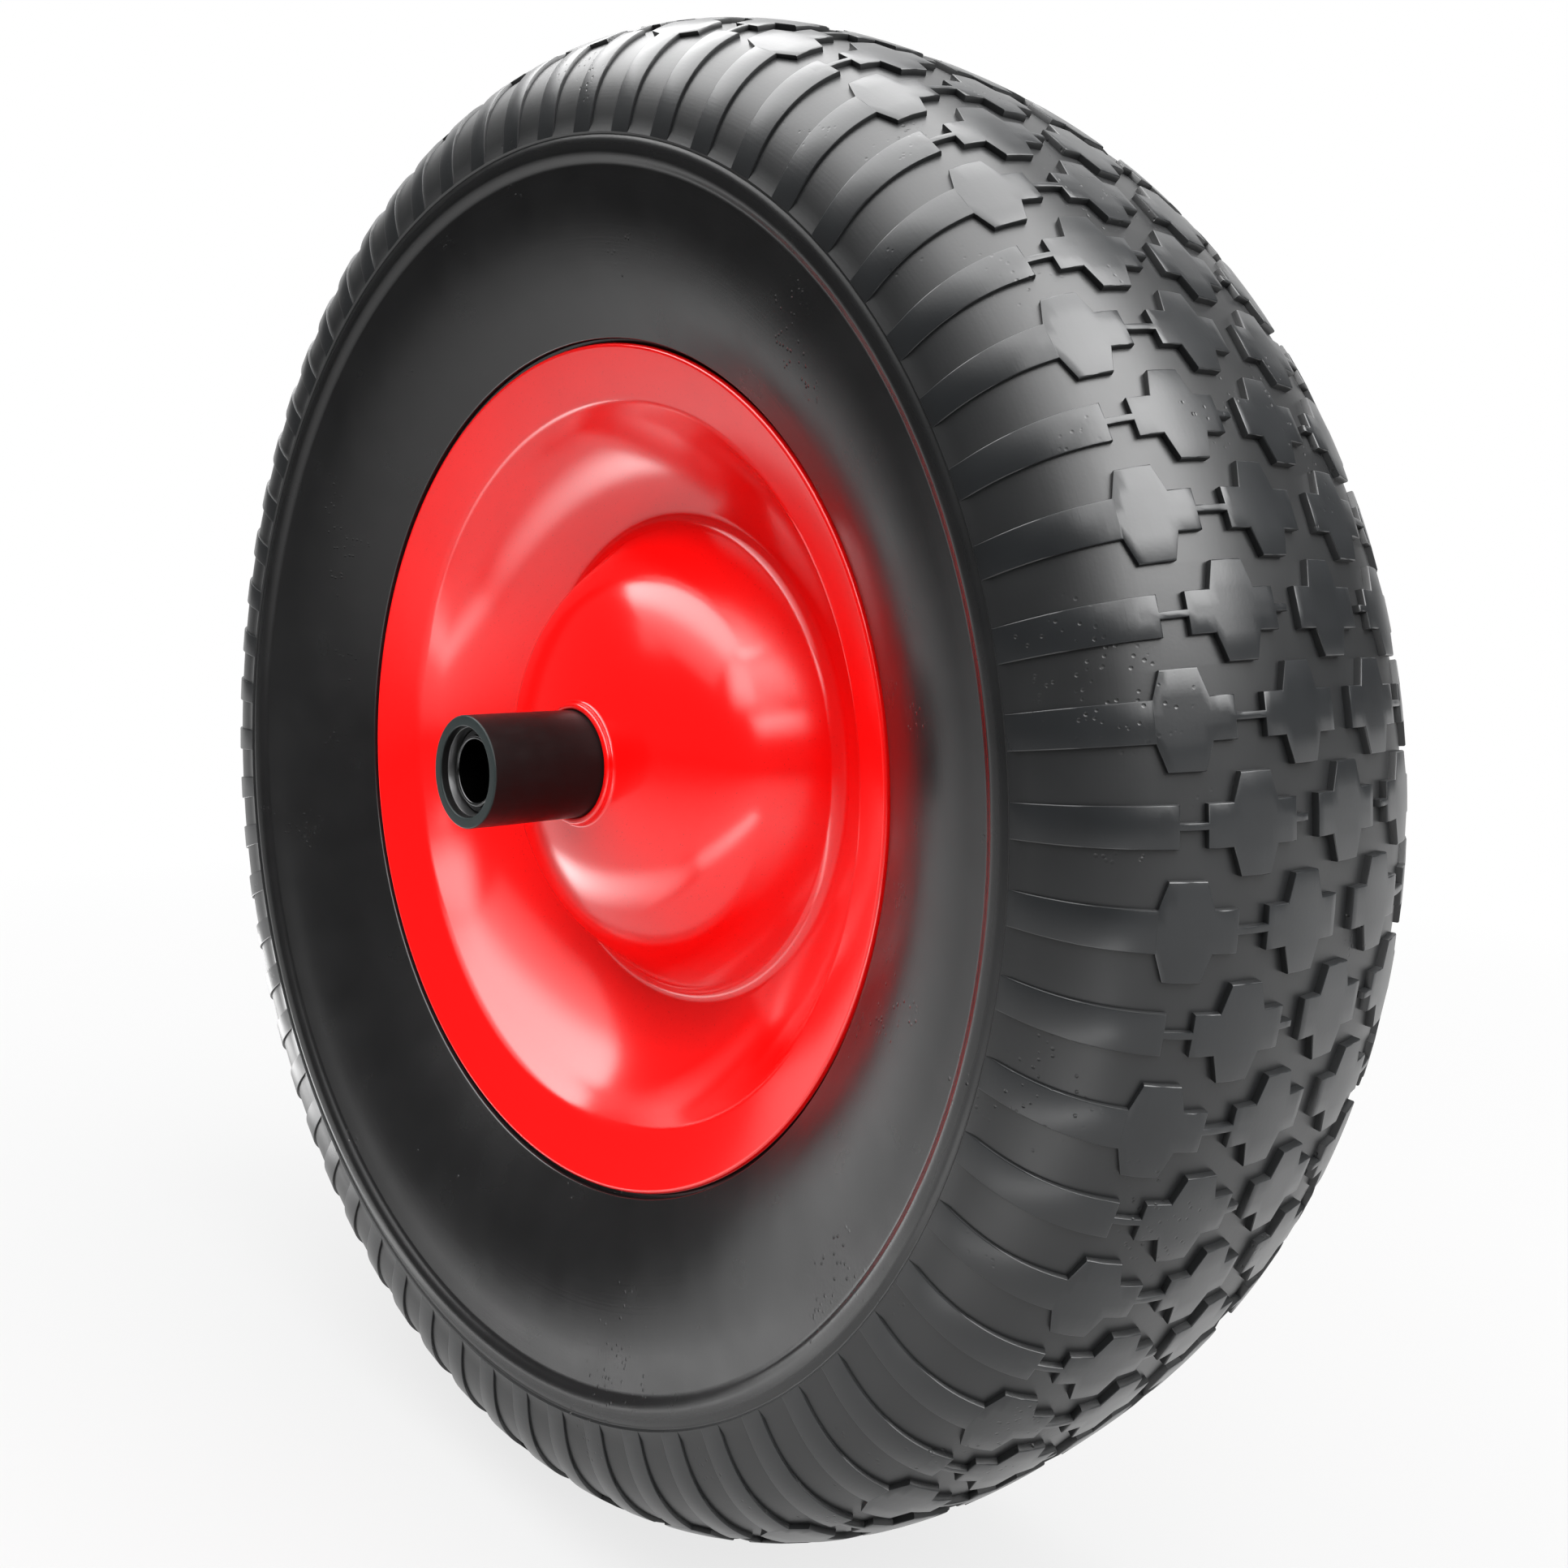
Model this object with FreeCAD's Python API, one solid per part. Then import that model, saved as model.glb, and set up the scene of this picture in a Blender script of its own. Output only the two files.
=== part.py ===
import FreeCAD, Part
import math
import os

# A solid foam wheelbarrow wheel: one moulded tyre on two pressed steel rim halves,
# a hub tube through both, and a roller bearing at each end of the tube that runs on
# one long axle sleeve. Millimetres. The wheel turns about the Y axis, its centre is
# the origin, and the side shown first faces -Y. Sections are drawn as (r, y) pairs:
# r is the distance from the axis and y the distance from the wheel's middle plane.

os.makedirs("parts", exist_ok=True)
Vector = FreeCAD.Vector
CENTRE = Vector(0, 0, 0)
AXIS = Vector(0, -1, 0)
SIDEWAYS = Vector(0, 1, 0)
FULL_TURN = 360.0

# Tyre body
tyre_diameter = 390.0
tyre_width = 112.0
crown_height = 34.2
crown_fullness = 2.52
tread_depth = 1.5
shoulder_depth = 0.5
foot_radius = 88.0
foot_edge = 1.0
sidewall_bulge = 4.0
sidewall_bend = 95.0
ring_inner_radius = 151.9
ring_width = 7.4
ring_outer_step = 1.0
ring_inner_step = 2.1
ring_crown = 0.5
ring_bend = 12.0
ring_height = 0.9
ring_edge = 0.5
bond_gap = 0.1
rim_edge_gap = 0.6

# Tread pattern
row_pairs = 32
row_phase = 8.9
row_gap = 0.12
arm_angle = 2.38
bridge_width = 1.4
block_step = 14.4
arm_half_length = 10.8
block_half_base = 5.4
block_half_top = 3.6
rib_start = 45.0
groove_clear = 4.0

# Rim halves
rim_radius = 110.7
rim_half_width = 36.0
sheet = 2.0
sheet_edge = 0.8
crease_radius = 96.9
crease_height = 29.4
crease_bend = 6.0
valley_bend = 4.5
weld_gap = 0.05
dome_foot_slope = 55.0
dome_side_slope = 25.0
dome_side_radius = 50.0
dome_side_bend = 32.0
dome_top_radius = 30.2
dome_top_height = 34.2
dome_top_slope = 9.0
dome_top_bend = 90.0
collar_bend = 1.0
collar_end = 38.5
collar_fit = 0.02

# Hub tube and axle sleeve
tube_radius = 14.3
tube_length = 142.0
tube_bore_radius = 11.5
tube_edge = 0.4
cup_seat_height = 0.9
sleeve_bore_radius = 8.0
sleeve_wall = 1.0
sleeve_length = 136.0
sleeve_edge = 0.3

# Roller bearings
roller_count = 10
roller_radius = 0.88
roller_length = 8.5
roller_edge = 0.15
running_gap = 0.03
cup_recess = 2.1
cup_length = 14.0
cup_fit = 0.02
cup_edge = 0.2
lead_in_length = 1.9
lead_in_rise = 0.4
cage_recess = 4.6
cage_length = 11.2
cage_gap = 0.25
pocket_gap = 0.12

# Sizes worked out from the ones above
tyre_radius = tyre_diameter / 2
tyre_half_width = tyre_width / 2
shoulder_radius = tyre_radius - crown_height
pair_pitch = FULL_TURN / row_pairs
row_pitch = pair_pitch / 2
block_half_angle = (row_pitch - row_gap) / 2
arm_half_angle = arm_angle / 2
tube_end = tube_length / 2
sleeve_end = sleeve_length / 2
sleeve_radius = sleeve_bore_radius + sleeve_wall
roller_track = sleeve_radius + running_gap + roller_radius
raceway_radius = roller_track + roller_radius + running_gap
cup_radius = tube_bore_radius - cup_fit
cup_end = tube_end - cup_recess
cage_end = tube_end - cage_recess
bearing_middle = cage_end - cage_length / 2


def line(a, b):
    return Part.LineSegment(Vector(*a, 0), Vector(*b, 0)).toShape()


def arc(a, b, c):
    return Part.Arc(Vector(*a, 0), Vector(*b, 0), Vector(*c, 0)).toShape()


def turned(shape, angle):
    """A copy of a shape, turned about the wheel's axis from +X towards +Z."""
    copy = shape.copy()
    copy.rotate(CENTRE, AXIS, angle)
    return copy


def other_side(shape):
    """The same shape on the other side of the wheel's middle plane."""
    return shape.mirror(CENTRE, SIDEWAYS)


def direction(a, b):
    length = math.hypot(b[0] - a[0], b[1] - a[1])
    return (b[0] - a[0]) / length, (b[1] - a[1]) / length


def rounded_path(corners):
    """Lines through (r, y, bend radius) corners, with an arc at each bend."""
    edges = []
    start = corners[0][:2]
    for before, corner, after in zip(corners, corners[1:], corners[2:]):
        bend = corner[2]
        if bend == 0:
            edges.append(line(start, corner[:2]))
            start = corner[:2]
            continue
        way_in = direction(corner, before)
        way_out = direction(corner, after)
        spread = math.acos(way_in[0] * way_out[0] + way_in[1] * way_out[1])
        reach = bend / math.tan(spread / 2)
        depth = bend / math.sin(spread / 2) - bend
        inward = direction((0, 0), (way_in[0] + way_out[0], way_in[1] + way_out[1]))
        first = (corner[0] + way_in[0] * reach, corner[1] + way_in[1] * reach)
        middle = (corner[0] + inward[0] * depth, corner[1] + inward[1] * depth)
        last = (corner[0] + way_out[0] * reach, corner[1] + way_out[1] * reach)
        edges += [line(start, first), arc(first, middle, last)]
        start = last
    edges.append(line(start, corners[-1][:2]))
    return edges


def offset_corners(corners, distance):
    """The same path, moved to its left by a distance."""
    lines = []
    for a, b in zip(corners, corners[1:]):
        along = direction(a, b)
        lines.append(((a[0] - along[1] * distance, a[1] + along[0] * distance), along))
    moved = [(*lines[0][0], 0)]
    for (p, u), (q, v), corner in zip(lines, lines[1:], corners[1:]):
        turn = u[0] * v[1] - u[1] * v[0]
        reach = ((q[0] - p[0]) * v[1] - (q[1] - p[1]) * v[0]) / turn
        bend = corner[2] - math.copysign(distance, turn)
        moved.append((p[0] + u[0] * reach, p[1] + u[1] * reach, bend))
    end, along = corners[-1], lines[-1][1]
    moved.append((end[0] - along[1] * distance, end[1] + along[0] * distance, 0))
    return moved


def height_at(a, b, r):
    """The y at radius r on the straight line through a and b."""
    return a[1] + (b[1] - a[1]) * (r - a[0]) / (b[0] - a[0])


def ring(corners):
    """Solid of revolution from the corners of a section, whose last corner is its first."""
    section = Part.Face(Part.Wire(rounded_path(corners)))
    return section.revolve(CENTRE, AXIS, FULL_TURN)


def band(inner, outer, low, high, inner_edge, outer_edge):
    """A plain ring from y = low to y = high with rounded edges."""
    middle = (inner + outer) / 2
    return ring([(middle, low, 0), (outer, low, outer_edge), (outer, high, outer_edge),
                 (inner, high, inner_edge), (inner, low, inner_edge), (middle, low, 0)])


def save(shape, node):
    shape.exportStep("parts/" + node + ".step")
    print(node, "volume", round(shape.Volume, 1), "solids", len(shape.Solids),
          "valid", shape.isValid())


# Rim half: one pressed sheet, from the flange down the wall to a rounded valley,
# then up over the dome to the collar round the hub tube.

def valley_corner():
    """Where the wall's line meets the line of the dome's foot, deep enough for the
    rounded valley to touch the other rim half at the middle plane."""
    foot = math.radians(dome_foot_slope)
    height = 0.0
    for _ in range(9):
        radius = dome_side_radius + (dome_side_height - height) / math.tan(foot)
        wall = math.atan2(crease_height - height, crease_radius - radius)
        half = (math.pi - foot - wall) / 2
        height = sheet + weld_gap - valley_bend * (1 / math.sin(half) - 1)
    return radius, height, valley_bend


collar_radius = tube_radius + collar_fit + sheet
dome_side_height = dome_top_height - ((dome_side_radius - dome_top_radius)
                                      * math.tan(math.radians(dome_side_slope)))
collar_root = dome_top_height + ((dome_top_radius - collar_radius)
                                 * math.tan(math.radians(dome_top_slope)))
rim_face = [
    (rim_radius, rim_half_width, 0),
    (crease_radius, crease_height, crease_bend),
    valley_corner(),
    (dome_side_radius, dome_side_height, dome_side_bend),
    (dome_top_radius, dome_top_height, dome_top_bend),
    (collar_radius, collar_root, collar_bend),
    (collar_radius, collar_end, 0),
]


def make_rim_half():
    rim_back = offset_corners(rim_face, sheet)
    outside = [(r, y, bend or sheet_edge) for r, y, bend in rim_face]
    inside = [(r, y, bend or sheet_edge) for r, y, bend in reversed(rim_back)]
    edge = ((rim_face[0][0] + rim_back[0][0]) / 2, (rim_face[0][1] + rim_back[0][1]) / 2, 0)
    return ring([edge, *outside, *inside, edge])


# Tyre: its full outline first. Grooves then leave the tread's ribs and blocks
# standing. One pair of rows is made and repeated all round.

def crown(depth, side_depth):
    """The tread's curve from shoulder to shoulder, at a depth below the block tops
    that changes to side_depth where the tyre is widest."""
    steps = 48
    power = 2 / crown_fullness
    points = []
    for step in range(steps + 1):
        angle = math.pi * (step / steps - 0.5)
        rise = (crown_height - depth) * max(math.cos(angle), 0) ** power
        side = (tyre_half_width - side_depth) * abs(math.sin(angle)) ** power
        points.append(Vector(shoulder_radius + rise, math.copysign(side, angle), 0))
    points[0].x = points[-1].x = shoulder_radius
    curve = Part.BSplineCurve()
    curve.interpolate(points)
    return curve.toShape()


def tyre_side():
    """The tyre's outline from the middle of its foot, along the back of the rim half
    and up the sidewall, to where the tyre is widest."""
    seat = offset_corners(rim_face, sheet + bond_gap)
    edge_radius = rim_radius + sheet / 2 + rim_edge_gap
    ring_outer = ring_inner_radius + ring_width
    ring_top = tyre_half_width - ring_inner_step
    ring_end = tyre_half_width - ring_outer_step
    ring_middle = ring_inner_radius + ring_width / 2
    sidewall_start = (edge_radius, rim_half_width)
    sidewall_end = (ring_inner_radius, ring_top - ring_height)
    sidewall_middle = (edge_radius + ring_inner_radius) / 2
    corners = [
        (foot_radius, 0, 0),
        (foot_radius, height_at(seat[1], seat[2], foot_radius), foot_edge),
        seat[1],
        (edge_radius, height_at(seat[0], seat[1], edge_radius), 0),
        (*sidewall_start, ring_edge),
        (sidewall_middle, height_at(sidewall_start, sidewall_end, sidewall_middle)
         + sidewall_bulge, sidewall_bend),
        (*sidewall_end, ring_edge),
        (ring_inner_radius + ring_edge, ring_top, ring_edge),
        (ring_middle, (ring_top + ring_end) / 2 + ring_crown, ring_bend),
        (ring_outer, ring_end, 0),
        (shoulder_radius, tyre_half_width, 0),
    ]
    return rounded_path(corners)


def sector(edges, start, end):
    """Solid made by turning a closed section from one angle to another."""
    section = Part.Face(Part.Wire(Part.sortEdges(edges)[0]))
    return turned(section, start).revolve(CENTRE, AXIS, end - start)


def block(middle):
    """Half widths along a cross-shaped block: thin arms and a wide sloping middle."""
    return [(middle - arm_half_length, arm_half_angle), (middle - block_half_base, arm_half_angle),
            (middle - block_half_top, block_half_angle), (middle + block_half_top, block_half_angle),
            (middle + block_half_base, arm_half_angle), (middle + arm_half_length, arm_half_angle)]


def tread_prism(tread, stations, to_shoulders):
    """Radial prism of a run of blocks. A station is a distance across the tread from
    its middle and a half width as an angle, or None on a thin bridge."""
    sides = []
    for distance, angle in stations:
        spot = tread.valueAt(tread.getParameterByLength(tread.Length / 2 + distance))
        half = bridge_width / 2 if angle is None else spot.x * math.sin(math.radians(angle))
        sides.append((spot.y, half))
    past = tyre_half_width + 2 * groove_clear
    shoulder_half = shoulder_radius * math.sin(math.radians(arm_half_angle))
    if -1 in to_shoulders:
        sides.insert(0, (-past, shoulder_half))
    if 1 in to_shoulders:
        sides.append((past, shoulder_half))
    bottom = shoulder_radius - groove_clear
    loop = [Vector(bottom, y, half) for y, half in sides]
    loop += [Vector(bottom, y, -half) for y, half in reversed(sides)]
    face = Part.Face(Part.makePolygon(loop + loop[:1]))
    return face.extrude(Vector(tyre_radius + groove_clear - bottom, 0, 0))


def bridged(*runs):
    """Stations of several runs, joined by thin bridges."""
    joined = list(runs[0])
    for run in runs[1:]:
        joined += [(joined[-1][0], None), (run[0][0], None), *run]
    return joined


def tread_prisms(tread):
    """The ribs and blocks that stand in one pair of rows."""
    near, far = block(block_step), block(3 * block_step)
    one_side = bridged(near, far[:-1])
    first_row = [
        tread_prism(tread, one_side, [1]),
        tread_prism(tread, [(-s, angle) for s, angle in reversed(one_side)], [-1]),
    ]
    rib = [(rib_start, arm_half_angle)]
    opposite_rib = [(-rib_start, arm_half_angle)]
    second_row = tread_prism(tread, bridged(opposite_rib, block(-2 * block_step), block(0),
                                            block(2 * block_step), rib), [-1, 1])
    return [*first_row, turned(second_row, row_pitch)]


def make_tyre():
    tread = crown(0, 0)
    side = tyre_side()
    outline = [tread, *side, *[other_side(edge) for edge in side]]
    start, end = -row_pitch / 2, pair_pitch - row_pitch / 2
    body = sector(outline, start, end)
    floor = crown(tread_depth, shoulder_depth)
    low, high = floor.valueAt(floor.FirstParameter), floor.valueAt(floor.LastParameter)
    wide = tyre_half_width + groove_clear
    above = tyre_radius + groove_clear
    fade = shoulder_radius + groove_clear
    around = [(high.x, high.y), (fade, wide), (above, wide), (above, -wide), (fade, -wide),
              (low.x, low.y)]
    around = [line(a, b) for a, b in zip(around, around[1:])]
    groove = sector([floor, *around], start - row_gap, end + row_gap)
    pair = body.cut(groove.cut(tread_prisms(tread)))
    skin = [face for face in pair.Faces if not on_sector_side(face, start, end)]
    faces = []
    for index in range(row_pairs):
        faces += [turned(face, row_phase + index * pair_pitch) for face in skin]
    shell = Part.makeShell(faces)
    shell.sewShape()
    return Part.makeSolid(shell)


def on_sector_side(face, start, end):
    middle = face.CenterOfMass
    angle = math.degrees(math.atan2(middle.z, middle.x))
    return min(abs(angle - start), abs(angle - end)) < row_gap / 10


# Hub: the tube holds the bearing cups against a narrower middle, and the axle sleeve
# runs the whole length inside it.

def make_hub_tube():
    seat = cup_end - cup_length
    middle_bore = tube_bore_radius - cup_seat_height
    wall = (tube_radius + tube_bore_radius) / 2
    return ring([(wall, -tube_end, 0), (tube_radius, -tube_end, tube_edge),
                 (tube_radius, tube_end, tube_edge), (tube_bore_radius, tube_end, tube_edge),
                 (tube_bore_radius, seat, 0), (middle_bore, seat, 0),
                 (middle_bore, -seat, 0), (tube_bore_radius, -seat, 0),
                 (tube_bore_radius, -tube_end, tube_edge), (wall, -tube_end, 0)])


def make_cup():
    inside = cup_end - cup_length
    wall = (cup_radius + raceway_radius) / 2
    return ring([(wall, inside, 0), (cup_radius, inside, cup_edge), (cup_radius, cup_end, 0),
                 (raceway_radius + lead_in_rise, cup_end, 0),
                 (raceway_radius, cup_end - lead_in_length, 0),
                 (raceway_radius, inside, cup_edge), (wall, inside, 0)])


def make_cage():
    cage = band(sleeve_radius + cage_gap, raceway_radius - cage_gap,
                cage_end - cage_length, cage_end, 0, 0)
    width = 2 * (roller_radius + pocket_gap)
    length = roller_length + 2 * pocket_gap
    pocket = Part.makeBox(raceway_radius, length, width,
                          Vector(0, bearing_middle - length / 2, -width / 2))
    pockets = [turned(pocket, index * FULL_TURN / roller_count) for index in range(roller_count)]
    return cage.cut(pockets)


def make_roller(index):
    roller = Part.makeCylinder(roller_radius, roller_length,
                               Vector(roller_track, bearing_middle - roller_length / 2, 0),
                               SIDEWAYS)
    roller = roller.makeChamfer(roller_edge, roller.Edges)
    return turned(roller, index * FULL_TURN / roller_count)


save(make_tyre(), "tyre")
save(make_hub_tube(), "hub_tube")
save(band(sleeve_bore_radius, sleeve_radius, -sleeve_end, sleeve_end, sleeve_edge, sleeve_edge),
     "axle_sleeve")

back_pieces = {"rim_half": make_rim_half(), "bearing_cup": make_cup(), "roller_cage": make_cage()}
for number in range(roller_count):
    back_pieces["roller_%02d" % (number + 1)] = make_roller(number)
for name, piece in back_pieces.items():
    save(piece, name + "_back")
    save(other_side(piece), name + "_front")
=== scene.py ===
# %% [markdown]
# # A wheelbarrow wheel
# A solid foam tyre stands on a pressed steel rim with a long black hub tube. This
# notebook dresses the engineering model of that wheel: every part you see is made
# again here with finer shapes and finishes, and rides on the part it stands for.
# We begin with the frame: it brings the model in, and sets MM, one millimetre in metres.

# %% Load the frame
import math
import bpy
import bmesh
import numpy as np
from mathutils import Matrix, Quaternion, Vector


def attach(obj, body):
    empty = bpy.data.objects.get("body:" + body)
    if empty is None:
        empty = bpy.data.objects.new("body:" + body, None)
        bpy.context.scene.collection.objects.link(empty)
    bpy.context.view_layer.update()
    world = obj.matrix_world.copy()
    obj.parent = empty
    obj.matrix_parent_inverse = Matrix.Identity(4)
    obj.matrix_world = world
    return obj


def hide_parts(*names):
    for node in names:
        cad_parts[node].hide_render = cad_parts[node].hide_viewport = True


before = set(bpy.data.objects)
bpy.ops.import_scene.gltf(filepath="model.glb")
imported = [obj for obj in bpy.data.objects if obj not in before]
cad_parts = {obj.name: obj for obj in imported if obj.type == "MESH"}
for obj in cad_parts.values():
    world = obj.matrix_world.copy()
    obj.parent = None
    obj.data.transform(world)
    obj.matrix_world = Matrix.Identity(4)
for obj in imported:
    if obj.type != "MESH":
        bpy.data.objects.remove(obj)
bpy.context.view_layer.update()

MM = 0.001

# %% [markdown]
# ## The camera
# The camera stands to the right of the wheel's front, a little above its middle, and
# looks almost level. Its lens was found from the circles of the rim and the tyre, so
# the wheel has the same shape in the picture as on the shop's photograph. The shift
# moves the picture without turning the camera, as a view camera's lens does.

# %% Camera
camera_data = bpy.data.cameras.new("camera")
camera = bpy.data.objects.new("camera", camera_data)
bpy.context.scene.collection.objects.link(camera)
camera.location = (0.3219, -0.2678, 0.0517)
camera.rotation_euler = [math.radians(angle) for angle in (87.839, -1.738, 47.285)]
camera_data.sensor_width = 36
camera_data.lens = 33.99
camera_data.shift_x = 0.0127
camera_data.shift_y = -0.0977
camera_data.clip_start = 0.01
bpy.context.scene.camera = camera
print("Camera", round(camera.location.length, 3), "m from the wheel's centre")

# %% [markdown]
# ## Small helpers
# Every piece is modelled in the same few moves. `deselect` clears the selection,
# because a tool acts on all that is selected. `point_mesh` starts a mesh as one point,
# and `draw` pulls that point along a section by extruding it. `keep` says which body
# the finished piece rides on and which solids it stands for, and hides those solids.

# %% Helpers for modelling
def deselect():
    bpy.ops.object.select_all(action="DESELECT")


def point_mesh(name, place):
    deselect()
    bpy.ops.mesh.primitive_plane_add(size=MM, location=(0, 0, 0))
    piece = bpy.context.object
    piece.name = piece.data.name = name
    bpy.ops.object.mode_set(mode="EDIT")
    bpy.ops.mesh.merge(type="CENTER")
    bpy.ops.transform.translate(value=place)
    return piece


def draw(points):
    for start, end in zip(points, points[1:]):
        step = [e - s for s, e in zip(start, end)]
        bpy.ops.mesh.extrude_vertices_move(TRANSFORM_OT_translate={"value": step})


def keep(piece, body, nodes):
    if bpy.context.object.mode == "EDIT":
        bpy.ops.object.mode_set(mode="OBJECT")
    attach(piece, body)
    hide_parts(*nodes)
    triangles = sum(len(face.vertices) - 2 for face in piece.data.polygons)
    print(piece.name, "has", triangles, "triangles")


# %% [markdown]
# ## Sections with rounded bends
# Sheet steel and moulded foam never turn a corner sharply. A section is written down
# as corners, (distance from the axis, distance from the middle plane, bend radius),
# all in millimetres, and `rounded` puts an arc at each bend.

# %% Rounded sections
ARC_TURN = math.radians(9)
ARC_CHORD = 1.6


def unit(a, b):
    length = math.dist(a, b)
    return Vector(((b[0] - a[0]) / length, (b[1] - a[1]) / length))


def rounded(corners):
    points = [Vector(corners[0][:2])]
    for before, corner, after in zip(corners, corners[1:], corners[2:]):
        spot, bend = Vector(corner[:2]), corner[2]
        if bend == 0:
            points.append(spot)
            continue
        way_in, way_out = unit(corner[:2], before[:2]), unit(corner[:2], after[:2])
        spread = way_in.angle(way_out)
        turn = math.pi - spread
        middle = (way_in + way_out).normalized()
        centre = spot + middle * (bend / math.sin(spread / 2))
        count = max(2, math.ceil(turn / ARC_TURN), math.ceil(turn * bend / ARC_CHORD))
        side = math.copysign(1, way_in.y * way_out.x - way_in.x * way_out.y)
        for step in range(count + 1):
            angle = turn * (step / count - 0.5) * side
            spoke = Vector((-middle.x * math.cos(angle) + middle.y * math.sin(angle),
                            -middle.x * math.sin(angle) - middle.y * math.cos(angle)))
            points.append(centre + spoke * bend)
    points.append(Vector(corners[-1][:2]))
    return points


def offset(corners, distance):
    lines = []
    for a, b in zip(corners, corners[1:]):
        along = unit(a[:2], b[:2])
        lines.append((Vector(a[:2]) + Vector((-along.y, along.x)) * distance, along))
    moved = [(*lines[0][0], 0)]
    for (p, u), (q, v), corner in zip(lines, lines[1:], corners[1:]):
        turn = u.x * v.y - u.y * v.x
        reach = ((q - p).x * v.y - (q - p).y * v.x) / turn
        moved.append((*(p + u * reach), corner[2] - math.copysign(distance, turn)))
    end, along = Vector(corners[-1][:2]), lines[-1][1]
    moved.append((*(end + Vector((-along.y, along.x)) * distance), 0))
    return moved


# %% [markdown]
# ## Turned pieces
# A rim, a tube or a ring is the same all round, so its section is drawn once and spun
# about the axle with the Spin tool. Spin can leave a shape inside out, so doubles are
# merged and the normals are worked out again.

# %% Spin a closed section
def spun(name, corners, steps, side=-1, smooth=40):
    section = [(spot.x * MM, side * spot.y * MM, 0) for spot in rounded(corners)]
    piece = point_mesh(name, section[0])
    draw(section)
    bpy.ops.mesh.select_all(action="SELECT")
    bpy.ops.mesh.remove_doubles(threshold=1e-7)
    bpy.ops.mesh.spin(steps=steps, angle=math.tau, center=(0, 0, 0), axis=(0, 1, 0))
    bpy.ops.mesh.select_all(action="SELECT")
    bpy.ops.mesh.remove_doubles(threshold=1e-7)
    bpy.ops.mesh.normals_make_consistent(inside=False)
    bpy.ops.object.mode_set(mode="OBJECT")
    bpy.ops.object.shade_smooth_by_angle(angle=math.radians(smooth))
    return piece


# %% [markdown]
# ## The rim halves
# Each half is one 2 mm steel sheet, pressed into a dish: a rolled flange, a sloping
# wall, a tight valley, a dome, and a short collar that grips the hub tube. A flat disc
# could be pulled into shape with proportional editing, but a spun section gives the
# clean curves that make gloss paint reflect in unbroken rings.

# %% Rim halves
SHEET = 2.0
SHEET_EDGE = 0.8
rim_face = [
    (110.7, 36.0, 0),
    (96.9, 29.4, 6.0),
    (84.4, 10.15, 54.0),
    (66.08, 2.0, 4.5),
    (50.0, 24.97, 32.0),
    (30.2, 34.2, 90.0),
    (16.32, 36.4, 1.0),
    (16.32, 38.5, 0),
]
rim_back = offset(rim_face, SHEET)
rim_outline = [(r, y, bend or SHEET_EDGE) for r, y, bend in rim_face]
rim_outline += [(r, y, bend or SHEET_EDGE) for r, y, bend in reversed(rim_back)]
edge_middle = (*((a + b) / 2 for a, b in zip(rim_face[0][:2], rim_back[0][:2])), 0)
rim_outline = [edge_middle, *rim_outline, edge_middle]
rims = {}
for side_name, side in (("front", -1), ("back", 1)):
    rims[side_name] = spun("rim_" + side_name, rim_outline, 240, side)
    keep(rims[side_name], "wheel", ["rim_half_" + side_name])

# %% [markdown]
# ## The hub
# A steel tube runs through both halves. Each end holds a thin hardened cup, a plastic
# cage of rollers, and the long sleeve that the barrow clamps on its axle.

# %% Hub tube, sleeve and cups
tube = spun("tube", [
    (12.9, -71.0, 0), (14.3, -71.0, 0.5), (14.3, 71.0, 0.5), (11.5, 71.0, 0.4),
    (11.5, 54.9, 0), (10.6, 54.9, 0), (10.6, -54.9, 0), (11.5, -54.9, 0),
    (11.5, -71.0, 0.4), (12.9, -71.0, 0)], 128)
keep(tube, "wheel", ["hub_tube"])
sleeve = spun("sleeve", [
    (8.5, -68.0, 0), (9.0, -68.0, 0.49), (9.0, 68.0, 0.49), (8.0, 68.0, 0.49),
    (8.0, -68.0, 0.49), (8.5, -68.0, 0)], 96)
keep(sleeve, "axle", ["axle_sleeve"])
cups = []
for side_name, side in (("front", -1), ("back", 1)):
    cup = spun("cup_" + side_name, [
        (11.1, 54.9, 0), (11.48, 54.9, 0.2), (11.48, 68.9, 0.08), (11.22, 68.9, 0.05),
        (10.82, 67.0, 0.3), (10.82, 54.9, 0.2), (11.1, 54.9, 0)], 96, side)
    cups.append(cup)
    keep(cup, "wheel", ["bearing_cup_" + side_name])

# %% [markdown]
# ## The tyre's skin, unrolled
# The tread is one pair of rows repeated 32 times. Cutting 64 rows of blocks into a
# round tyre would be slow and uneven, so we unroll the skin: x runs round the wheel
# and y across it, from the foot inside the rim, over the tread, to the foot on the
# other side. On this flat strip the ribs and blocks are easy to mark and to extrude.
# The strip is then copied 32 times and every point is laid on the tyre's section.
# First comes that section: a smooth crown, a raised ring, the sidewall, a lip at the
# flange's edge, and the foot, which lies a hair's breadth from the steel behind it.

# %% The tyre's section
HALF_WIDTH = 56.0
SHOULDER_RADIUS = 159.4
CROWN_HEIGHT = 35.57
CROWN_FULLNESS = 2.6
TREAD_DEPTH = 1.5
SHOULDER_DEPTH = 0.5


def crown_curve(height, half_width):
    """Points of the tread's curve from its middle to where the tyre is widest."""
    turn = np.linspace(0, math.pi / 2, 4001)
    power = 2 / CROWN_FULLNESS
    rise = height * np.maximum(np.cos(turn), 0) ** power
    rise[-1] = 0
    return np.column_stack((SHOULDER_RADIUS + rise, half_width * np.sin(turn) ** power))


def lengths(points):
    return np.concatenate(([0], np.cumsum(np.hypot(*np.diff(points, axis=0).T))))


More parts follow.
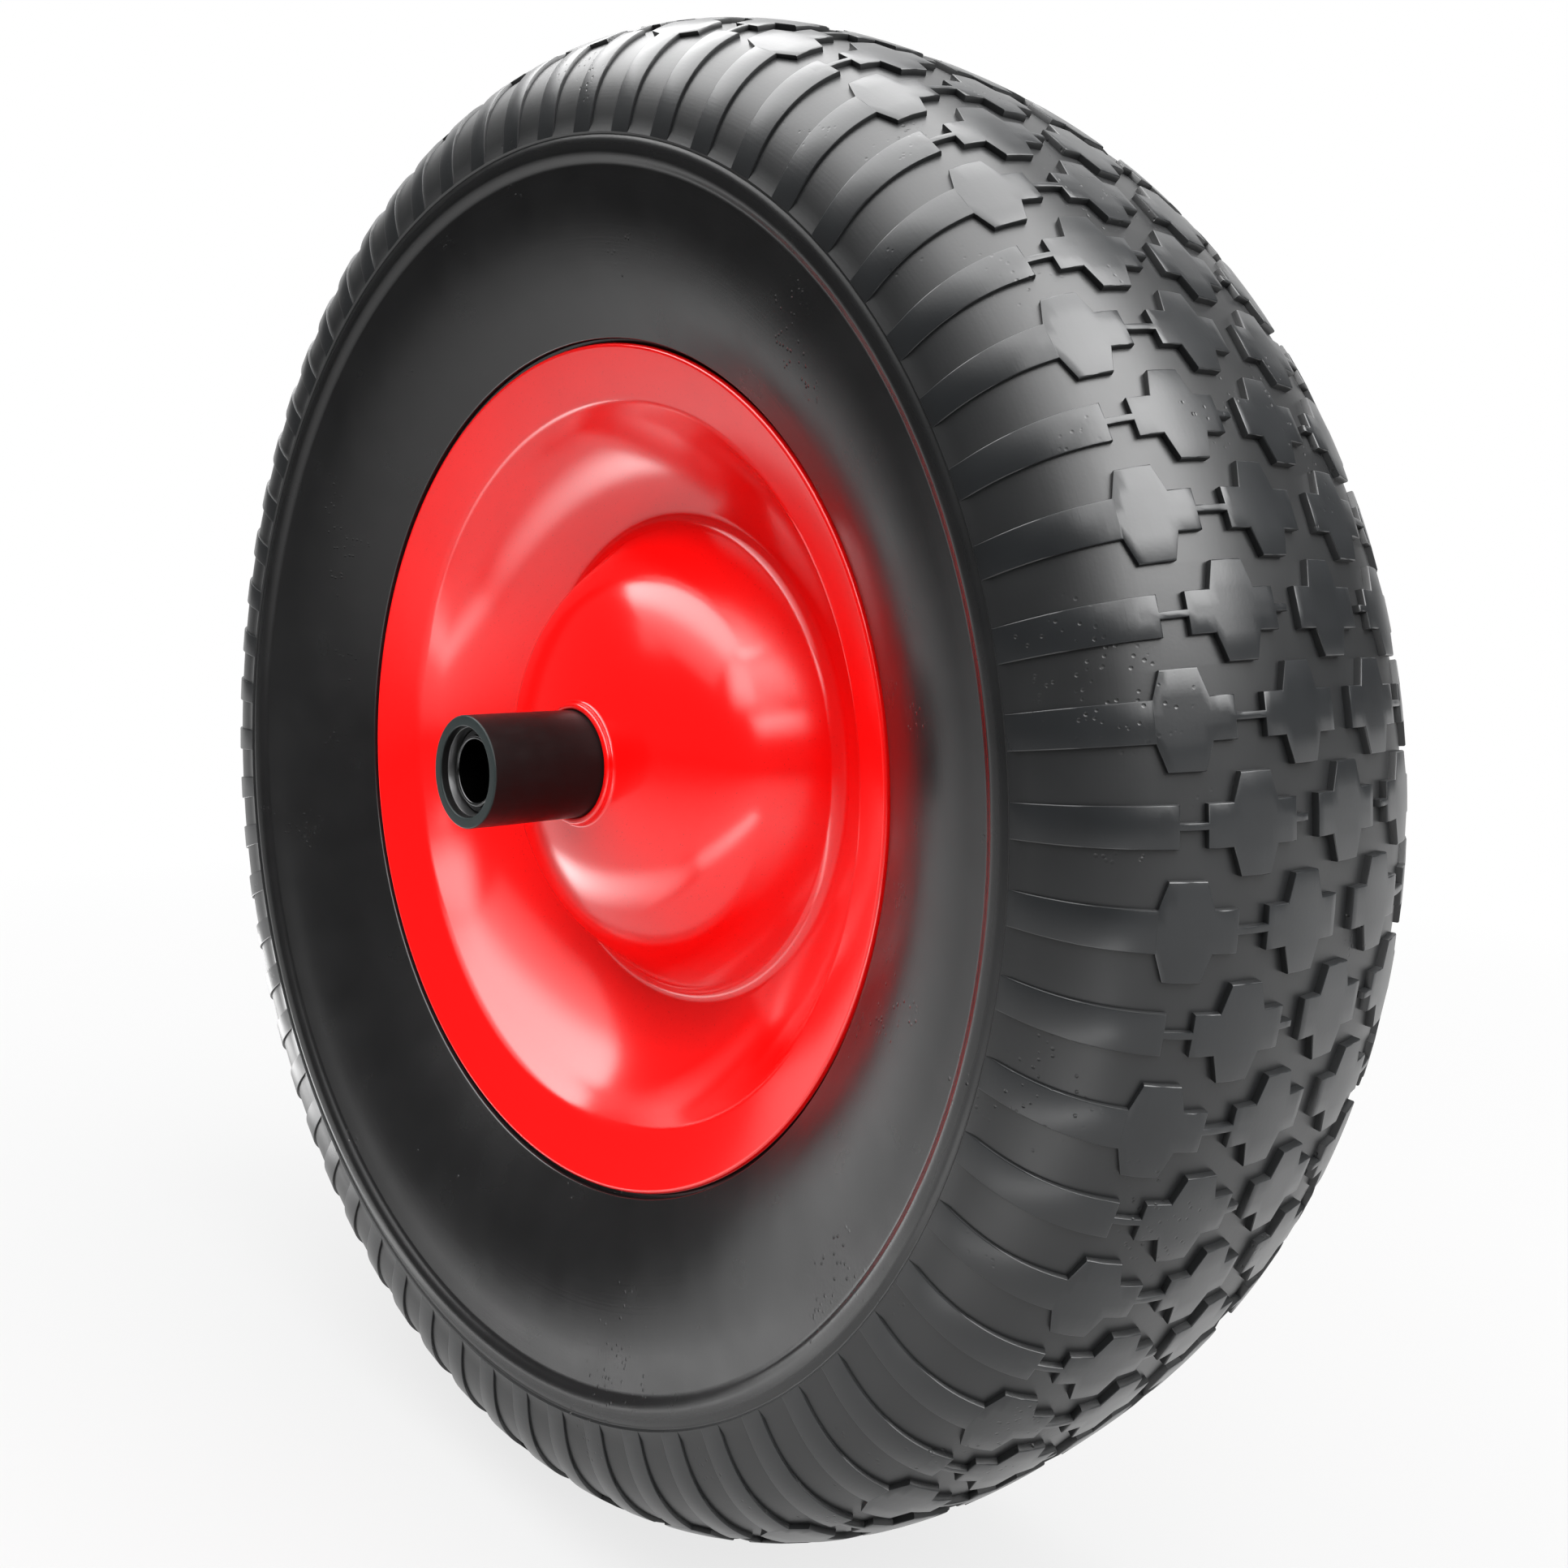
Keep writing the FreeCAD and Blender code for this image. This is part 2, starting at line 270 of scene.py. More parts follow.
SEAT_GAP = 0.1
FOOT, LIP = 88.0, 112.3
seat = offset(rim_face, SHEET + SEAT_GAP)
seat_slope = (seat[1][1] - seat[2][1]) / (seat[1][0] - seat[2][0])
foot_y = seat[1][1] + seat_slope * (FOOT - seat[1][0])
flange_slope = (seat[0][1] - seat[1][1]) / (seat[0][0] - seat[1][0])
behind_flange = seat[1][1] + flange_slope * (LIP - seat[1][0])
side_corners = [
    (SHOULDER_RADIUS, HALF_WIDTH, 0),
    (158.9, 55.45, 0.4),
    (157.6, 55.9, 3.0),
    (154.2, 55.3, 4.0),
    (152.6, 53.6, 2.5),
    (132.1, 48.5, 95),
    (LIP, 36.0, 0.7),
    (LIP, behind_flange, 0),
    seat[1],
    (FOOT, foot_y, 1.0),
    (FOOT, 0.0, 0),
]
crown_points = crown_curve(CROWN_HEIGHT, HALF_WIDTH)
crown_length = lengths(crown_points)[-1]
side_points = np.array([tuple(spot) for spot in rounded(side_corners)])
skin_points = np.concatenate((crown_points, side_points[1:]))
skin_lengths = lengths(skin_points)
print("Crown", round(crown_length, 2), "mm and skin", round(skin_lengths[-1], 2),
      "mm to a side")

# %% [markdown]
# ## The pattern
# All of it stands on a lattice of 1.8 mm across the tread. Cross-shaped blocks are
# 14.4 mm apart, with thin arms and a wide middle with sloping shoulders. In one row the
# outer blocks run into the ribs of the shoulder. In the next row short bridges join
# three blocks and two ribs. Round the wheel, widths are half angles in degrees.

# %% Where a rib or block stands
LATTICE = 1.8
ROWS = 64
ROW = 360 / ROWS
BRIDGE, ARM, BLOCK = 0.21, 1.19, 2.7525
STEP = 14.4
ARM_LENGTH, BASE, TOP = 10.8, 5.4, 3.6
RIB_START = 45.0


def from_block(row, across):
    """How far the nearest block of that row is, measured across the tread."""
    centres = (STEP, 3 * STEP) if row == 0 else (0, 2 * STEP)
    return min(abs(across - centre) for centre in centres)


def half_angle(row, across):
    """Half the width, as an angle, of what stands in a row at that distance across."""
    near = from_block(row, across)
    if near < TOP:
        return BLOCK
    if near < BASE:
        return ARM + (BLOCK - ARM) * (BASE - near) / (BASE - TOP)
    if near < ARM_LENGTH or across > RIB_START:
        return ARM
    return 0 if across < STEP else BRIDGE


# %% [markdown]
# ## One pair of rows as a flat tile
# A point is extruded across the tread along the lattice and the section, and that line
# is extruded sideways. The tread gets more lines with Bisect, the sloping edges of the
# blocks come from joining two corners of a cell, and the standing faces are extruded by
# the depth of the tread. A bevel rounds their top edges, as the mould does.

# %% The tile's grid
R = 195.0


def round_trip(angle):
    """Degrees round the wheel as metres along the flat tile."""
    return math.radians(angle) * R * MM


lattice = [LATTICE * n for n in range(1, 42)]
stations = [*lattice, *skin_lengths[np.searchsorted(skin_lengths, crown_length - 1e-6):]]
stations = [-s for s in reversed(stations)] + [0.0] + stations
columns = [-ROW / 2, -ARM, ARM, ROW / 2, ROW - ARM, ROW + ARM, 1.5 * ROW]
tile = point_mesh("foam_tyre", (round_trip(columns[0]), stations[0] * MM, 0))
draw([(0, s * MM, 0) for s in stations])
bpy.ops.mesh.select_all(action="SELECT")
for here, there in zip(columns, columns[1:]):
    step = (round_trip(there - here), 0, 0)
    bpy.ops.mesh.extrude_edges_move(TRANSFORM_OT_translate={"value": step})
print("Tile grid:", len(stations), "lines across and", len(columns), "along")

# %% Extra lines under the blocks and bridges
TREAD_EDGE = 48.6


def edit_mesh():
    return bmesh.from_edit_mesh(bpy.context.object.data)


def select_faces(wanted):
    bpy.ops.mesh.select_mode(type="FACE")
    bpy.ops.mesh.select_all(action="DESELECT")
    mesh = edit_mesh()
    for face in mesh.faces:
        face.select_set(bool(wanted(face.calc_center_median())))
    bmesh.update_edit_mesh(bpy.context.object.data)


for centre in (0, ROW):
    for angle in (-BLOCK, -BRIDGE, BRIDGE, BLOCK):
        select_faces(lambda spot: abs(spot.y) < TREAD_EDGE * MM)
        bpy.ops.mesh.bisect(plane_co=(round_trip(centre + angle), 0, 0), plane_no=(1, 0, 0))
print("Tile with its extra lines:", len(edit_mesh().faces), "faces")


# %% Join the corners of the sloping edges
def cell_of(spot):
    """(row, degrees from the row's middle, distance across) of a place on the tile."""
    angle = math.degrees(spot.x / (R * MM))
    row = int(angle > ROW / 2)
    return row, angle - row * ROW, abs(spot.y) / MM


def is_slope_corner(spot):
    row, angle, across = cell_of(spot)
    near = from_block(row, across)
    on_block = abs(near - TOP) < 0.1 and abs(abs(angle) - BLOCK) < 0.01
    return on_block or (abs(near - BASE) < 0.1 and abs(abs(angle) - ARM) < 0.01)


bpy.ops.mesh.select_mode(type="VERT")
bpy.ops.mesh.select_all(action="DESELECT")
mesh = edit_mesh()
for vertex in mesh.verts:
    vertex.select_set(is_slope_corner(vertex.co))
bmesh.update_edit_mesh(tile.data)
bpy.ops.mesh.vert_connect()
print("Tile with its sloping edges:", len(edit_mesh().faces), "faces")

# %% Raise the ribs and blocks
EDGE_ROUND = 0.3


def stands(spot):
    row, angle, across = cell_of(spot)
    return across < crown_length and abs(angle) < half_angle(row, across)


select_faces(stands)
bpy.ops.mesh.extrude_region_move(TRANSFORM_OT_translate={"value": (0, 0, TREAD_DEPTH * MM)})
bpy.ops.mesh.select_mode(type="EDGE")
bpy.ops.mesh.select_all(action="DESELECT")
mesh = edit_mesh()
for edge in mesh.edges:
    high = all(vertex.co.z > 0.5 * MM for vertex in edge.verts)
    level = [abs(face.normal.z) > 0.5 for face in edge.link_faces]
    at_end = all(abs(vertex.co.y) > (crown_length - 0.1) * MM for vertex in edge.verts)
    edge.select_set(high and True in level and False in level and not at_end)
bmesh.update_edit_mesh(tile.data)
bpy.ops.mesh.bevel(offset=EDGE_ROUND * MM, segments=2, affect="EDGES")
bpy.ops.object.mode_set(mode="OBJECT")
print("Tile:", len(tile.data.polygons), "faces")

# %% [markdown]
# ## Roll the tile into a tyre
# An Array modifier repeats the tile. Bend and Curve modifiers could roll it up, but
# they would stretch the grooves at the shoulders, so each point is placed by the
# section itself: y picks the point on the section, x the angle, and z the height over
# the groove's floor, which gets shallower towards the shoulders and ends at the ring.
# The height is also kept as an attribute, so that the finish can tell block from groove.

# %% Repeat the tile
PAIRS = ROWS // 2
deselect()
tile.select_set(True)
bpy.context.view_layer.objects.active = tile
array = tile.modifiers.new("rows", "ARRAY")
array.count = PAIRS
array.use_relative_offset = False
array.use_constant_offset = True
array.constant_offset_displace = (round_trip(2 * ROW), 0, 0)
array.use_merge_vertices = True
array.merge_threshold = 1e-6
bpy.ops.object.modifier_apply(modifier=array.name)
print("Strip:", len(tile.data.vertices), "points")

# %% Lay every point on the section
FIRST_ROW = 8.9
FADE = 1.0
places = np.empty(len(tile.data.vertices) * 3)
tile.data.vertices.foreach_get("co", places)
places = places.reshape(-1, 3) / MM
across = np.abs(places[:, 1])
floor_points = crown_curve(CROWN_HEIGHT - TREAD_DEPTH, HALF_WIDTH - SHOULDER_DEPTH)
top_r, top_y = [np.interp(across, skin_lengths, skin_points[:, k]) for k in (0, 1)]
share = np.clip(across / crown_length, 0, 1)
floor_share = lengths(floor_points) / lengths(floor_points)[-1]
low_r, low_y = [np.interp(share, floor_share, floor_points[:, k]) for k in (0, 1)]
fade = np.clip((crown_length - across) / FADE, 0, 1)
sink = (1 - places[:, 2] / TREAD_DEPTH) * fade * (across < crown_length)
radius = top_r + (low_r - top_r) * sink
width = (top_y + (low_y - top_y) * sink) * np.sign(places[:, 1])
angle = places[:, 0] / R + math.radians(FIRST_ROW)
wrapped = np.column_stack((radius * np.cos(angle), width, radius * np.sin(angle))) * MM
tile.data.vertices.foreach_set("co", wrapped.ravel())
height = tile.data.attributes.new("height", "FLOAT", "POINT")
height.data.foreach_set("value", places[:, 2] / TREAD_DEPTH)
tile.data.update()
print("Widest point of the tread:", round(float(radius.max()), 2), "mm from the axle")

# %% Close the ring and smooth it
bpy.ops.object.mode_set(mode="EDIT")
bpy.ops.mesh.select_mode(type="VERT")
bpy.ops.mesh.select_all(action="SELECT")
bpy.ops.mesh.remove_doubles(threshold=2e-6)
bpy.ops.mesh.normals_make_consistent(inside=False)
bpy.ops.object.mode_set(mode="OBJECT")
bpy.ops.object.shade_smooth_by_angle(angle=math.radians(38))
tyre = tile
keep(tyre, "wheel", ["tyre"])

# %% [markdown]
# ## Finishes
# Each finish is a few nodes on the Principled shader. All patterns read the Object
# coordinates, which are metres on the wheel, so a detail keeps its real size. A noise
# with scale 1000 changes about every millimetre, and a bump's distance is its depth in
# metres. The helpers add one node each, already linked: arithmetic, a ramp, a noise, a
# bump, and a blend of two colours.

# %% Helpers for finishes
def new_material(name, colour, roughness, metallic=0.0):
    material = bpy.data.materials.new(name)
    material.use_nodes = True
    shader = material.node_tree.nodes["Principled BSDF"]
    shader.inputs["Base Color"].default_value = (*colour, 1)
    shader.inputs["Roughness"].default_value = roughness
    shader.inputs["Metallic"].default_value = metallic
    return material, shader


def put(material, socket, value):
    """Link a socket to an input, or write a plain value into it."""
    if isinstance(value, bpy.types.NodeSocket):
        material.node_tree.links.new(value, socket)
    else:
        socket.default_value = value


def add(material, kind, settings=None, inputs=None):
    """A new node, with its settings made and its inputs linked or filled."""
    node = material.node_tree.nodes.new(kind)
    for name, value in (settings or {}).items():
        setattr(node, name, value)
    for name, value in (inputs or {}).items():
        put(material, node.inputs[name], value)
    return node


def worked_out(material, operation, a, b=0.0):
    """One step of arithmetic on two values, such as ADD or MULTIPLY."""
    return add(material, "ShaderNodeMath", {"operation": operation}, {0: a, 1: b}).outputs[0]


def ramp(material, source, *stops):
    """Turn a value into another by straight lines between (value, result) stops."""
    node = add(material, "ShaderNodeValToRGB", None, {"Fac": source})
    elements = node.color_ramp.elements
    while len(elements) < len(stops):
        elements.new(1.0)
    for element, (place, result) in zip(elements, stops):
        element.position = place
        element.color = (result, result, result, 1)
    return node.outputs["Color"]


def places_of(material):
    return add(material, "ShaderNodeTexCoord").outputs["Object"]


def noise(material, vector, scale, detail=3.0, roughness=0.5):
    node = add(material, "ShaderNodeTexNoise", None,
               {"Vector": vector, "Scale": scale, "Detail": detail, "Roughness": roughness})
    return node.outputs["Fac"]


def bump(material, height, distance, normal=None):
    node = add(material, "ShaderNodeBump", None, {"Height": height, "Distance": distance})
    if normal:
        put(material, node.inputs["Normal"], normal)
    return node.outputs["Normal"]


def blend(material, share, a, b, mode="MIX"):
    node = add(material, "ShaderNodeMix", {"data_type": "RGBA", "blend_type": mode})
    for socket, value in ((node.inputs[0], share), (node.inputs[6], a), (node.inputs[7], b)):
        put(material, socket, value)
    return node.outputs[2]


def axle_distance(material, vector):
    """Distance from the wheel's axis, in metres."""
    flat = add(material, "ShaderNodeVectorMath", {"operation": "MULTIPLY"},
               {0: vector, 1: (1, 0, 1)})
    length = add(material, "ShaderNodeVectorMath", {"operation": "LENGTH"},
                 {0: flat.outputs[0]})
    return length.outputs["Value"]


def dress(pieces, material):
    """Give every piece that one material."""
    for piece in pieces:
        piece.data.materials.clear()
        piece.data.materials.append(material)


# %% [markdown]
# ## Foam rubber
# The skin of solid foam is satin and almost black. Gas that met the mould left small
# pits in loose clusters: Voronoi cells give the pits, a wide noise says where clusters
# lie, and a random number for each cell leaves most of them out. The lathe that cut
# the mould left faint rings. A picture of rubber could be laid on instead, but it would
# stretch and repeat, and noise does neither.

# %% Pits and the shape of the skin
PIT_DEPTH = 0.0001
WAVE_DEPTH = 0.00012
GRAIN_DEPTH = 0.00001
LATHE_DEPTH = 0.000008
rubber, rubber_shader = new_material("foam rubber", (0.015, 0.015, 0.0155), 0.36)
spots = places_of(rubber)
cells = add(rubber, "ShaderNodeTexVoronoi", None,
            {"Vector": spots, "Scale": 800.0, "Randomness": 1.0})
pit = ramp(rubber, cells.outputs["Distance"], (0.0, 1.0), (0.16, 0.85), (0.34, 0.0))
chosen = add(rubber, "ShaderNodeSeparateColor", None, {"Color": cells.outputs["Color"]})
chosen = ramp(rubber, chosen.outputs["Red"], (0.30, 1.0), (0.32, 0.0))
cluster = ramp(rubber, noise(rubber, spots, 38.0, 2.0), (0.60, 0.0), (0.66, 1.0))
pits = worked_out(rubber, "MULTIPLY", worked_out(rubber, "MULTIPLY", pit, chosen), cluster)
grain = noise(rubber, spots, 1500.0, 2.0)
waves = noise(rubber, spots, 45.0, 2.0)
rings = add(rubber, "ShaderNodeTexNoise", {"noise_dimensions": "1D"},
            {"W": axle_distance(rubber, spots), "Scale": 1400.0, "Detail": 2.0})
normal = bump(rubber, waves, WAVE_DEPTH)
normal = bump(rubber, grain, GRAIN_DEPTH, normal)
normal = bump(rubber, rings.outputs["Fac"], LATHE_DEPTH, normal)
normal = bump(rubber, worked_out(rubber, "SUBTRACT", 1.0, pits), PIT_DEPTH, normal)
put(rubber, rubber_shader.inputs["Normal"], normal)
print("Pits up to", PIT_DEPTH / MM, "mm deep")

# %% [markdown]
# The sidewall is the smoothest part. The tread is rougher, most of all on the floors of
# its grooves, and the tops of the blocks are a little cooler in colour. Both differences
# are read from the `height` attribute and from the distance to the axle.

# %% Colour and gloss of the rubber
SIDEWALL_BLACK = (0.0060, 0.0060, 0.0062, 1)
GROOVE_BLACK = (0.0060, 0.0064, 0.0068, 1)
BLOCK_BLACK = (0.0070, 0.0078, 0.0086, 1)
PIT_PAINTED_SHADE = (0.004, 0.004, 0.004, 1)
block_top = add(rubber, "ShaderNodeAttribute", {"attribute_name": "height"}).outputs["Fac"]
block_top = ramp(rubber, block_top, (0.75, 0.0), (0.95, 1.0))
tread = ramp(rubber, axle_distance(rubber, spots), (0.157, 0.0), (0.161, 1.0))
colour = blend(rubber, block_top, GROOVE_BLACK, BLOCK_BLACK)
colour = blend(rubber, tread, SIDEWALL_BLACK, colour)
mottle = ramp(rubber, noise(rubber, spots, 90.0, 4.0), (0.3, 0.85), (0.7, 1.12))
colour = blend(rubber, 1.0, colour, mottle, "MULTIPLY")
# Inside the pits the colour goes darker: painted shade in the small hollows, on top of their
# bump.
colour = blend(rubber, pits, colour, PIT_PAINTED_SHADE)
put(rubber, rubber_shader.inputs["Base Color"], colour)
worn = ramp(rubber, noise(rubber, spots, 60.0, 4.0), (0.3, 0.22), (0.7, 0.28))
rougher = ramp(rubber, block_top, (0.0, 0.14), (1.0, 0.06))
rougher = worked_out(rubber, "MULTIPLY", tread, rougher)
put(rubber, rubber_shader.inputs["Roughness"], worked_out(rubber, "ADD", worn, rougher))
rubber_shader.inputs["Specular IOR Level"].default_value = 0.55
dress([tyre], rubber)
print("Foam rubber:", len(rubber.node_tree.nodes), "nodes")

# %% [markdown]
# ## Gloss paint
# Powder paint is a deep colour under a clear gloss. Here the colour is the base and the
# gloss is the Coat, which alone mirrors the lights. Its surface isn't flat: a very low
# noise on both gives the orange peel that softens the reflections.

# %% Gloss red paint
RED = (0.85, 0.002, 0.002)
paint, paint_shader = new_material("red gloss paint", RED, 0.4)
spots = places_of(paint)
tone = ramp(paint, noise(paint, spots, 30.0, 3.0), (0.3, 0.96), (0.7, 1.04))
speck = ramp(paint, noise(paint, spots, 2600.0, 1.0), (0.24, 0.55), (0.30, 1.0))
colour = blend(paint, 1.0, (*RED, 1), tone, "MULTIPLY")
colour = blend(paint, 1.0, colour, speck, "MULTIPLY")
put(paint, paint_shader.inputs["Base Color"], colour)
peel = bump(paint, noise(paint, spots, 420.0, 2.0), 0.000012)
peel = bump(paint, noise(paint, spots, 35.0, 1.0), 0.00012, peel)
put(paint, paint_shader.inputs["Normal"], peel)
put(paint, paint_shader.inputs["Coat Normal"], peel)
paint_shader.inputs["Specular IOR Level"].default_value = 0.0
paint_shader.inputs["Coat Weight"].default_value = 1.0
paint_shader.inputs["Coat Roughness"].default_value = 0.17
paint_shader.inputs["Coat IOR"].default_value = 1.67
dress(rims.values(), paint)
print("Red paint:", len(paint.node_tree.nodes), "nodes")

# %% [markdown]
# ## The hub tube
# The tube is black satin paint over drawn steel, so its faint lines run along it: a
# Mapping node squeezes the noise along Y. Its sawn ends took the paint thinly and look
# greyer, which a ramp on the distance from the middle plane gives.

# %% Satin black paint
TUBE_END = 0.0712
black, black_shader = new_material("satin black paint", (0.010, 0.0095, 0.0095), 0.34)
drawn = add(black, "ShaderNodeMapping", None,
            {"Vector": places_of(black), "Scale": (1, 0.04, 1)})
lines = noise(black, drawn.outputs["Vector"], 2200.0, 3.0)
put(black, black_shader.inputs["Normal"], bump(black, lines, 0.000012))
tone = ramp(black, noise(black, places_of(black), 300.0, 3.0), (0.3, 0.28), (0.7, 0.42))
put(black, black_shader.inputs["Roughness"], tone)
colour = blend(black, lines, (0.003, 0.0028, 0.0028, 1), (0.006, 0.0055, 0.0055, 1))
along = add(black, "ShaderNodeSeparateXYZ", None, {"Vector": places_of(black)}).outputs["Y"]
from_middle = worked_out(black, "ABSOLUTE", along)
to_end = worked_out(black, "DIVIDE", from_middle, TUBE_END)
sawn = ramp(black, to_end, (0.990, 0.0), (0.995, 1.0))
colour = blend(black, sawn, colour, (0.020, 0.026, 0.026, 1))
put(black, black_shader.inputs["Base Color"], colour)
black_shader.inputs["Specular IOR Level"].default_value = 0.16
dress([tube], black)
print("Black paint:", len(black.node_tree.nodes), "nodes")

# %% [markdown]
# ## Steel and plastic
# The sleeve was turned and the cups were ground, so their lines run round the axle: a
# noise in one dimension reads the distance from it. The sleeve's bore is painted dark, as
# painted shade deep inside it. The cages are moulded plastic with a fine grain, and the
# rollers are ground too.

# %% Turned and ground steel
BORE_PAINTED_SHADE = (0.012, 0.012, 0.013, 1)
steels = {}
for name, grey, roughness in (("turned steel", 0.78, 0.2), ("ground steel", 0.3, 0.3)):
    steel, steel_shader = new_material(name, (grey, grey, grey * 1.01), roughness, 1.0)
    spots = places_of(steel)
    along = add(steel, "ShaderNodeSeparateXYZ", None, {"Vector": spots}).outputs["Y"]
    place = worked_out(steel, "ADD", along, axle_distance(steel, spots))
    turned = add(steel, "ShaderNodeTexNoise", {"noise_dimensions": "1D"},
                 {"W": place, "Scale": 6000.0, "Detail": 3.0}).outputs["Fac"]
    put(steel, steel_shader.inputs["Normal"], bump(steel, turned, 0.00001))
    dull = ramp(steel, noise(steel, spots, 900.0, 3.0), (0.3, roughness - 0.02),
                (0.7, roughness + 0.03))
    put(steel, steel_shader.inputs["Roughness"], dull)
    colour = blend(steel, turned, (grey * 0.8, grey * 0.8, grey * 0.81, 1),
                   (grey * 1.15, grey * 1.15, grey * 1.16, 1))
    # Inside the bore the colour is near black: painted shade within the long, narrow sleeve.
    bore = ramp(steel, axle_distance(steel, spots), (0.00803, 1.0), (0.0081, 0.0))
    colour = blend(steel, bore, colour, BORE_PAINTED_SHADE)
    put(steel, steel_shader.inputs["Base Color"], colour)
    steels[name] = steel
dress([sleeve], steels["turned steel"])
dress(cups, steels["ground steel"])
print("Steels:", list(steels))

# %% Black plastic, and the bearings of the model
plastic, plastic_shader = new_material("black plastic", (0.010, 0.010, 0.010), 0.45)
grain = noise(plastic, places_of(plastic), 3000.0, 3.0)
put(plastic, plastic_shader.inputs["Normal"], bump(plastic, grain, 0.00002))
colour = blend(plastic, grain, (0.003, 0.003, 0.003, 1), (0.006, 0.006, 0.006, 1))
put(plastic, plastic_shader.inputs["Base Color"], colour)
for name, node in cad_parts.items():
    if name.startswith("roller_cage"):
        dress([node], plastic)
    elif name.startswith("roller_"):
        dress([node], steels["ground steel"])
print("Materials:", [material.name for material in bpy.data.materials if material.users])

# %% [markdown]
# ## Floor, backdrop and light
# The wheel stands on a plain pale floor in front of a white backdrop. Both are white to
# the camera and in reflections, through the Light Path node, so no lamp has to make
# them white. Near the wheel a part of the floor's own shade stays, and with it the
# wheel's shadow. In front of the wheel the reflections fade, and the room round it is
# dim in them, as if black cloth hung there: this is what keeps a photograph of gloss
# paint and black rubber from looking washed out.

# %% Floor and backdrop
FLOOR_Z = -0.195
SHADE, FRONT_SHADE = (0.25, 0.25, 0.25), (0.04, 0.04, 0.04)
FRONT_DEPTH = 1.5


def mirror_ray(material, path):
    """1 for a ray that a gloss or a glass sends on, otherwise 0."""
    return worked_out(material, "MAXIMUM", path["Is Glossy Ray"], path["Is Transmission Ray"])


def white_stage(name, place, size, turn, whiteness, front):
    """A sheet that looks white. The stops of `whiteness` go by metres from its middle, and
    those of `front` from 0, FRONT_DEPTH before the middle, to 1 at the middle."""
    deselect()
    bpy.ops.mesh.primitive_plane_add(size=size, location=place, rotation=turn)
    sheet = bpy.context.object
    sheet.name = name
    material, shader = new_material(name, SHADE, 0.9)
    path = add(material, "ShaderNodeLightPath").outputs
    far = add(material, "ShaderNodeVectorMath", {"operation": "LENGTH"},
              {0: places_of(material)}).outputs["Value"]
    parts = add(material, "ShaderNodeSeparateXYZ", None, {"Vector": places_of(material)})
    ahead = worked_out(material, "ADD", parts.outputs["Y"], FRONT_DEPTH)
    nearness = ramp(material, worked_out(material, "DIVIDE", ahead, FRONT_DEPTH), *front)
    mirrored = worked_out(material, "MULTIPLY", mirror_ray(material, path), nearness)
    seen = worked_out(material, "MAXIMUM", path["Is Camera Ray"], mirrored)
    share = worked_out(material, "MULTIPLY", seen, ramp(material, far, *whiteness))
    shade = blend(material, nearness, (*FRONT_SHADE, 1), (*SHADE, 1))
    put(material, shader.inputs["Base Color"], shade)
    glow = add(material, "ShaderNodeEmission").outputs[0]
    mix = add(material, "ShaderNodeMixShader", None, {0: share, 1: shader.outputs[0], 2: glow})
    out = material.node_tree.nodes["Material Output"].inputs["Surface"]
    put(material, out, mix.outputs[0])
    dress([sheet], material)
    print(name, "is", size, "m wide")


white_stage("floor", (0, 0, FLOOR_Z), 16, (0, 0, 0), ((0.25, 0.78), (0.9, 1.0)),
            ((0.2, 0.0), (0.6, 0.4), (0.8, 1.0)))
white_stage("backdrop", (-4.4, 4.08, 3.0), 12, (math.radians(90), 0, math.radians(47.2)),
            ((0.0, 1.0), (1.0, 1.0)), ((0.0, 1.0), (1.0, 1.0)))

# %% The room
DIM_ROOM = 0.06
MIRRORED_ROOM = 0.1
world = bpy.data.worlds.new("studio")
bpy.context.scene.world = world
world.use_nodes = True
background = world.node_tree.nodes["Background"].inputs
background["Color"].default_value = (1, 1, 1, 1)
path = add(world, "ShaderNodeLightPath").outputs
mirrored = worked_out(world, "MULTIPLY", mirror_ray(world, path), MIRRORED_ROOM)
seen = worked_out(world, "MAXIMUM", path["Is Camera Ray"], mirrored)
put(world, background["Strength"], worked_out(world, "MAXIMUM", seen, DIM_ROOM))
print("The room lights the wheel with", DIM_ROOM, "of white")
bpy.context.scene.view_settings.view_transform = "Standard"

# %% [markdown]
# ## Softboxes
# Gloss paint and satin rubber show the studio as in a mirror, so the bright bands tell
# where the softboxes stood: a very wide one overhead that fades towards the front, a
# large one at the right, a smaller one at the right front, and two low strips on the
# floor before the wheel. Each is a plane that shines from one side, brightest where its
# ramps say. An area lamp would be as bright all over, and its edges would show.

